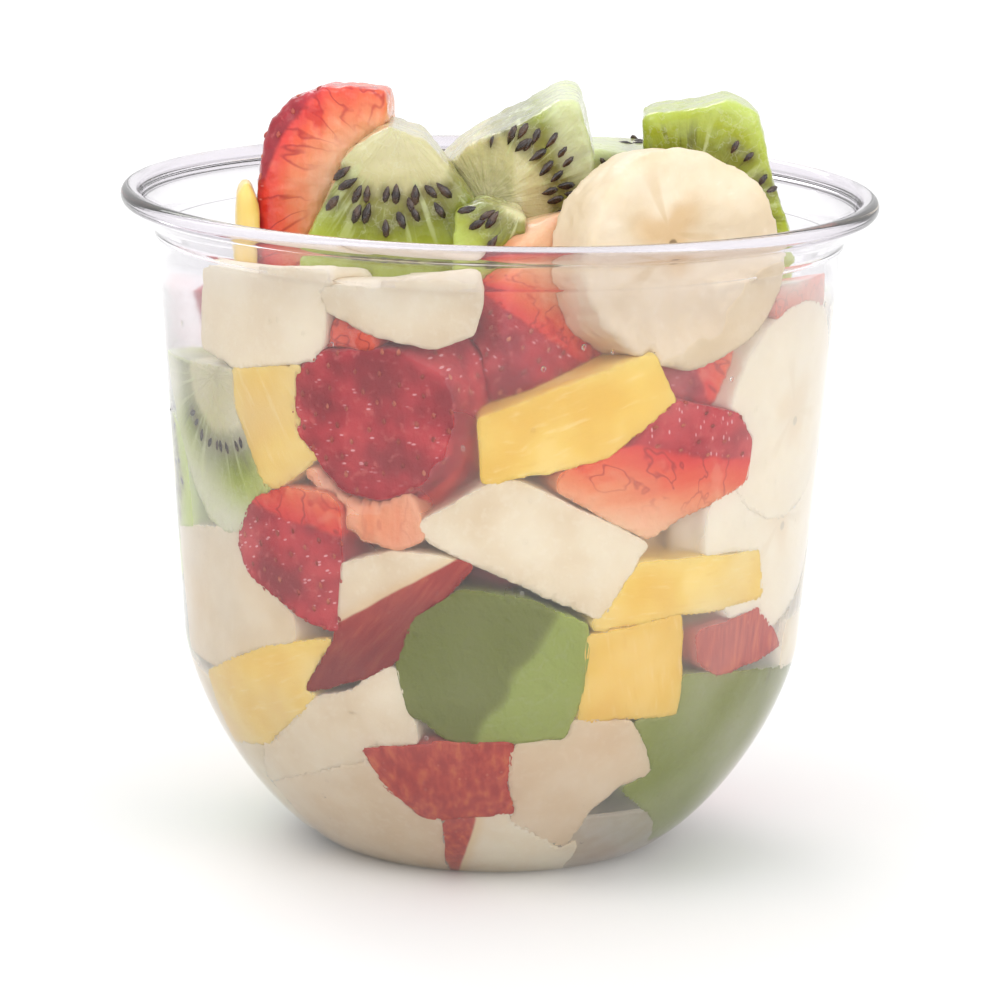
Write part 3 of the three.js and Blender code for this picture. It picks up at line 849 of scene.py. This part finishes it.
def frameOf(name, points):
    settings = cutFrom.get(name, {})
    place = {key: settings[key] for key in ("turn", "x", "y", "z", "spin", "lean", "roll") if key in settings}
    if "z" in settings:
        return placeOf(**place)
    centre = points.mean(axis=0)
    luck = random.Random(name)
    return Matrix.Translation(Vector(centre)) @ Euler([luck.uniform(-1, 1) for _ in range(3)]).to_matrix().to_4x4()


def shapeFruit(name, mesh, line):
    settings = cutFrom.get(name, {})
    points = pointsOf(mesh) / mm
    normals = pointsOf(mesh, "normal")
    grit = cutShape["grit"] * settings.get("grit", 1.0)
    swell = np.array([
        noise.noise(Vector(point) * cutShape["swellSize"]) * cutShape["swell"] * settings.get("swell", 1.0)
        + noise.noise(Vector(point) * cutShape["gritSize"]) * grit
        for point in points
    ])
    points = points + normals * (swell + cutShape["grow"])[:, None]
    own = frameOf(name, points)
    turned = np.array(own.inverted())
    local = points @ turned[:3, :3].T + turned[:3, 3]
    if "size" in settings:
        size = np.array(settings["size"], dtype=float)
        share = np.linalg.norm(local / size, axis=1)
        depth = (1 - share) * size.min()
        if "rind" in settings:
            depth -= settings["rind"] * np.clip((3.0 - towardsWall(points, line)[0]) / 1.5, 0, 1)
    else:
        depth = np.full(len(points), settings.get("deep", 9.0))
    if "skinSide" in settings:
        across, up, start = settings["skinSide"]
        depth = across * points[:, 0] + up * points[:, 2] - start
    depth = depth * settings.get("ripe", 1.0) + settings.get("peeled", 0.0)
    # painted light and shade: shade sets each piece's brightness, and blend ramps it across a piece for a lit side
    # and a shaded side, partly the piece's own tone
    shade = np.full(len(points), settings.get("shade", 0.5))
    if "blend" in settings:
        across, up, start, width, other = settings["blend"]
        wavy = np.array([noise.noise(Vector(point) * 0.22) for point in points]) * 1.0
        share = np.clip((across * points[:, 0] + up * points[:, 2] + wavy - start) / width, 0, 1)
        shade += (other - shade) * share
    # haze: a painted veil of light scattered by mist and juice between the piece and the wall
    cloud = np.array([noise.noise(Vector(point) * 0.13) for point in points])
    haze = np.clip(settings.get("haze", 0.06) * (1 + 1.4 * cloud), 0, 0.9)
    if "core" in settings:
        local = local * (4.4 / settings["core"])
    points = pressToWall(points, line)
    mesh.vertices.foreach_set("co", (points * mm).ravel())
    for title, kind, values in (
        ("own", "FLOAT_VECTOR", local), ("skinDepth", "FLOAT", depth),
        ("shade", "FLOAT", shade), ("haze", "FLOAT", haze), ("seeded", "FLOAT", np.zeros(len(points))),
    ):
        layer = mesh.attributes.new(title, kind, "POINT")
        layer.data.foreach_set("vector" if kind == "FLOAT_VECTOR" else "value", values.ravel())
    mesh.update()
    return points, depth, own


def spread(points, chosen, spacing, luck):
    # indices of points at least a spacing apart, in a shuffled order
    order = [int(index) for index in chosen]
    luck.shuffle(order)
    kept = []
    for index in order[:900]:
        if not kept or np.linalg.norm(points[kept] - points[index], axis=1).min() > spacing:
            kept.append(index)
    return kept


def seedPlace(point, normal, along, sizes, sink):
    up = Vector(normal).normalized()
    forward = Vector(along) - up * Vector(along).dot(up)
    if forward.length < 1e-3:
        forward = up.orthogonal()
    forward.normalize()
    side = up.cross(forward)
    place = Matrix((forward * sizes[0], side * sizes[1], up * sizes[2])).transposed().to_4x4()
    place.translation = Vector(point) - up * sink
    return Matrix.Scale(mm, 4) @ place


def joinedSeeds(name, places, taper, material, slot):
    seed = bmesh.new()
    bmesh.ops.create_uvsphere(seed, u_segments=8, v_segments=6, radius=1.0)
    seed.verts.index_update()
    corners = np.array([(*vertex.co, 1.0) for vertex in seed.verts])
    corners[:, 1:3] *= (1 - taper * np.maximum(0, corners[:, :1]))
    faces = [[vertex.index for vertex in face.verts] for face in seed.faces]
    seed.free()
    points = np.concatenate([corners @ np.array(place).T for place in places])[:, :3]
    polygons = [
        [corner + len(corners) * number for corner in face]
        for number in range(len(places)) for face in faces
    ]
    mesh = bpy.data.meshes.new(name)
    mesh.from_pydata(points.tolist(), [], polygons)
    print(name, len(places))
    return placePiece(name, mesh, material, slot)


kiwiSeeds = {"length": 1.15, "width": 0.46, "thick": 0.36, "sink": 0.14, "spacing": 1.75, "share": 0.62}
berrySeeds = {
    "length": 0.46, "width": 0.28, "thick": 0.22, "sink": 0.16, "spacing": 2.1, "dimple": 0.2, "dimpleSize": 0.75,
}


def fanSpots(local, fans, luck):
    # the surface points nearest the open end of the axis, in arcs round it
    picked = []
    for count, start, end, radius, big in fans:
        for step in range(count):
            angle = math.radians(start + (end - start) * (step + luck.uniform(-0.25, 0.25)) / max(1, count - 1))
            away = radius + luck.uniform(-0.7, 0.7)
            gap = np.hypot(local[:, 0] - away * math.cos(angle), local[:, 1] - away * math.sin(angle))
            near = np.nonzero(gap < 0.6)[0]
            if len(near):
                picked.append((int(near[np.argmax(local[near, 2])]), big))
    return picked


def addKiwiSeeds(fruit, material):
    places = []
    for name, (mesh, points, depth, own) in fruit.items():
        if kindOf(name) != "kiwi":
            continue
        low, high = cutFrom[name]["ring"]
        luck = random.Random(name + "seeds")
        normals = pointsOf(mesh, "normal")
        turned = np.array(own.inverted())
        local = points @ turned[:3, :3].T + turned[:3, 3]
        radius = np.hypot(local[:, 0], local[:, 1])
        chosen = np.nonzero((radius > low) & (radius < high))[0]
        axis = own.to_3x3() @ Vector((0, 0, 1))
        centre = own.translation
        if "fans" in cutFrom[name]:
            picked = fanSpots(local, cutFrom[name]["fans"], luck)
        else:
            picked = [(index, 1.0) for index in spread(points, chosen, kiwiSeeds["spacing"], luck)]
        markSeeds(mesh, points, [index for index, _ in picked], 1.1)
        for index, big in picked:
            if "fans" not in cutFrom[name] and luck.random() > kiwiSeeds["share"]:
                continue
            point = Vector(points[index])
            out = point - centre
            out -= axis * out.dot(axis)
            big *= luck.uniform(0.85, 1.12)
            sizes = [kiwiSeeds[key] * big for key in ("length", "width", "thick")]
            along = -out.normalized() + Vector([luck.uniform(-0.3, 0.3) for _ in range(3)])
            places.append(seedPlace(point, normals[index], along, sizes, kiwiSeeds["sink"]))
    return joinedSeeds("kiwi_seeds", places, 0.55, material, "kiwi_flesh")


def addStrawberrySeeds(fruit, material):
    places = []
    for name, (mesh, points, depth, own) in fruit.items():
        if kindOf(name) != "strawberry":
            continue
        luck = random.Random(name + "seeds")
        spots = spread(points, np.nonzero(depth < 0.7)[0], berrySeeds["spacing"], luck)
        normals = pointsOf(mesh, "normal")
        moved = points.copy()
        for index in spots:
            away = np.linalg.norm(points - points[index], axis=1) / berrySeeds["dimpleSize"]
            near = away < 1.6
            moved[near] -= normals[near] * (berrySeeds["dimple"] * np.exp(-2.2 * away[near] ** 2))[:, None]
        mesh.vertices.foreach_set("co", (moved * mm).ravel())
        mesh.update()
        markSeeds(mesh, points, spots, 0.6)
        axis = own.to_3x3() @ Vector((0, 0, 1))
        for index in spots:
            big = luck.uniform(0.85, 1.15)
            sizes = [berrySeeds[key] * big for key in ("length", "width", "thick")]
            along = axis + Vector([luck.uniform(-0.2, 0.2) for _ in range(3)])
            places.append(seedPlace(points[index], normals[index], along, sizes, berrySeeds["sink"]))
    return joinedSeeds("strawberry_seeds", places, 0.5, material, "strawberry_flesh")


def markSeeds(mesh, points, spots, reach):
    # how close each point lies to a seed
    near = np.zeros(len(points))
    for spot in spots:
        away = np.linalg.norm(points - points[spot], axis=1) / reach
        near = np.maximum(near, np.exp(-away ** 2))
    mesh.attributes["seeded"].data.foreach_set("value", near)


drops = {"count": 420, "small": 0.12, "large": 0.42, "low": 6.0, "high": 74.0}


def addDroplets(line, material):
    luck = random.Random(11)
    places = []
    for _ in range(drops["count"]):
        height = luck.uniform(drops["low"], drops["high"])
        angle = luck.uniform(0, 2 * math.pi)
        radius = float(np.interp(height, line[:36, 1], line[:36, 0]))
        size = luck.uniform(drops["small"], drops["large"])
        up = Vector((-math.cos(angle), -math.sin(angle), 0.15))
        point = Vector((radius * math.cos(angle), radius * math.sin(angle), height))
        sizes = (size * luck.uniform(1, 1.6), size, size * 0.5)
        places.append(seedPlace(point, up, Vector((0, 0, 1)), sizes, 0.05))
    return joinedSeeds("juice_drops", places, 0.0, material, "clear_cup")


juice = {"top": 10.5, "reach": 0.08, "steps": 120}


def makeJuice():
    finish = Finish("juice", {
        "Transmission Weight": 0.55, "IOR": 1.33, "Specular IOR Level": 0.3,
    })
    place = finish.place()
    cloud = finish.grain(place, 190.0, 4.0)
    fine = finish.grain(place, 800.0)
    finish.into("Base Color", finish.ramp(cloud.step(0.3, 0.7), [
        (0.0, tone(226, 208, 184)),
        (0.5, tone(238, 226, 208)),
        (1.0, tone(246, 240, 230)),
    ]))
    finish.into("Roughness", 0.1 + fine * 0.2)
    finish.bump(cloud + fine * 0.3, 0.3, 0.0004)
    return finish.material


def addJuice(line, material):
    top = juice["top"]
    side = [(radius, height) for radius, height in line[1:27] if height < top]
    out = [(0.0, side[0][1] - juice["reach"])]
    out += [(radius + juice["reach"], height - juice["reach"] * 0.5) for radius, height in side]
    edge = float(np.interp(top, line[1:30, 1], line[1:30, 0]))
    out += [(edge + juice["reach"], top), (edge - 1.2, top - 0.45), (0.0, top - 0.5)]
    shape = bmesh.new()
    chain = [shape.verts.new((radius * mm, 0, height * mm)) for radius, height in out]
    edges = [shape.edges.new(pair) for pair in zip(chain, chain[1:])]
    bmesh.ops.spin(
        shape, geom=chain + edges, cent=(0, 0, 0), axis=(0, 0, 1), angle=2 * math.pi,
        steps=juice["steps"], use_merge=True, use_normal_flip=False, use_duplicate=False,
    )
    bmesh.ops.remove_doubles(shape, verts=shape.verts, dist=1e-6)
    bmesh.ops.recalc_face_normals(shape, faces=shape.faces)
    return finishPiece("juice_pool", shape, material, "clear_cup")


def addFloor():
    finish = Finish("paleFloor", {
        "Base Color": tone(241, 241, 241), "Roughness": 0.6, "Specular IOR Level": 0.1,
    })
    shape = bmesh.new()
    bmesh.ops.create_grid(shape, x_segments=1, y_segments=1, size=4)
    mesh = bpy.data.meshes.new("floor")
    shape.to_mesh(mesh)
    shape.free()
    mesh.materials.append(finish.material)
    floor = bpy.data.objects.new("floor", mesh)
    scene.collection.objects.link(floor)


scene.view_settings.view_transform = "Standard"
scene.view_settings.look = "None"
scene.view_settings.exposure = 0.0

addCamera()
addSky()
addLamp("key", lights["key"])
addLamp("fill", lights["fill"])
addLamp("low", lights["low"])
addLamp("back", lights["back"])
addFloor()
print("stage ready")

makers = {
    "strawberry": makeStrawberry, "kiwi": makeKiwi, "mango": makeMango,
    "banana": makeBanana, "apple": makeApple,
}
finishes = {kind: make() for kind, make in makers.items()}
cupPiece = addCup(makeClear())
cupPiece.visible_shadow = False
print("cup ready")

names = [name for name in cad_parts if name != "cup"]
line = innerWall()
fruit = {}
for name, mesh in remeshed(names).items():
    points, depth, own = shapeFruit(name, mesh, line)
    fruit[name] = (mesh, points, depth, own)
print("fruit shaped:", len(fruit))
addKiwiSeeds(fruit, makeKiwiSeed())
addStrawberrySeeds(fruit, makeStrawberrySeed())
for name, (mesh, points, depth, own) in fruit.items():
    placePiece(name + "_fruit", mesh, finishes[kindOf(name)], slotOf(name), name)
print("fruit ready")
dropPiece = addDroplets(line, makeDroplet())
dropPiece.visible_shadow = False
juicePiece = addJuice(line, makeJuice())
juicePiece.visible_shadow = False
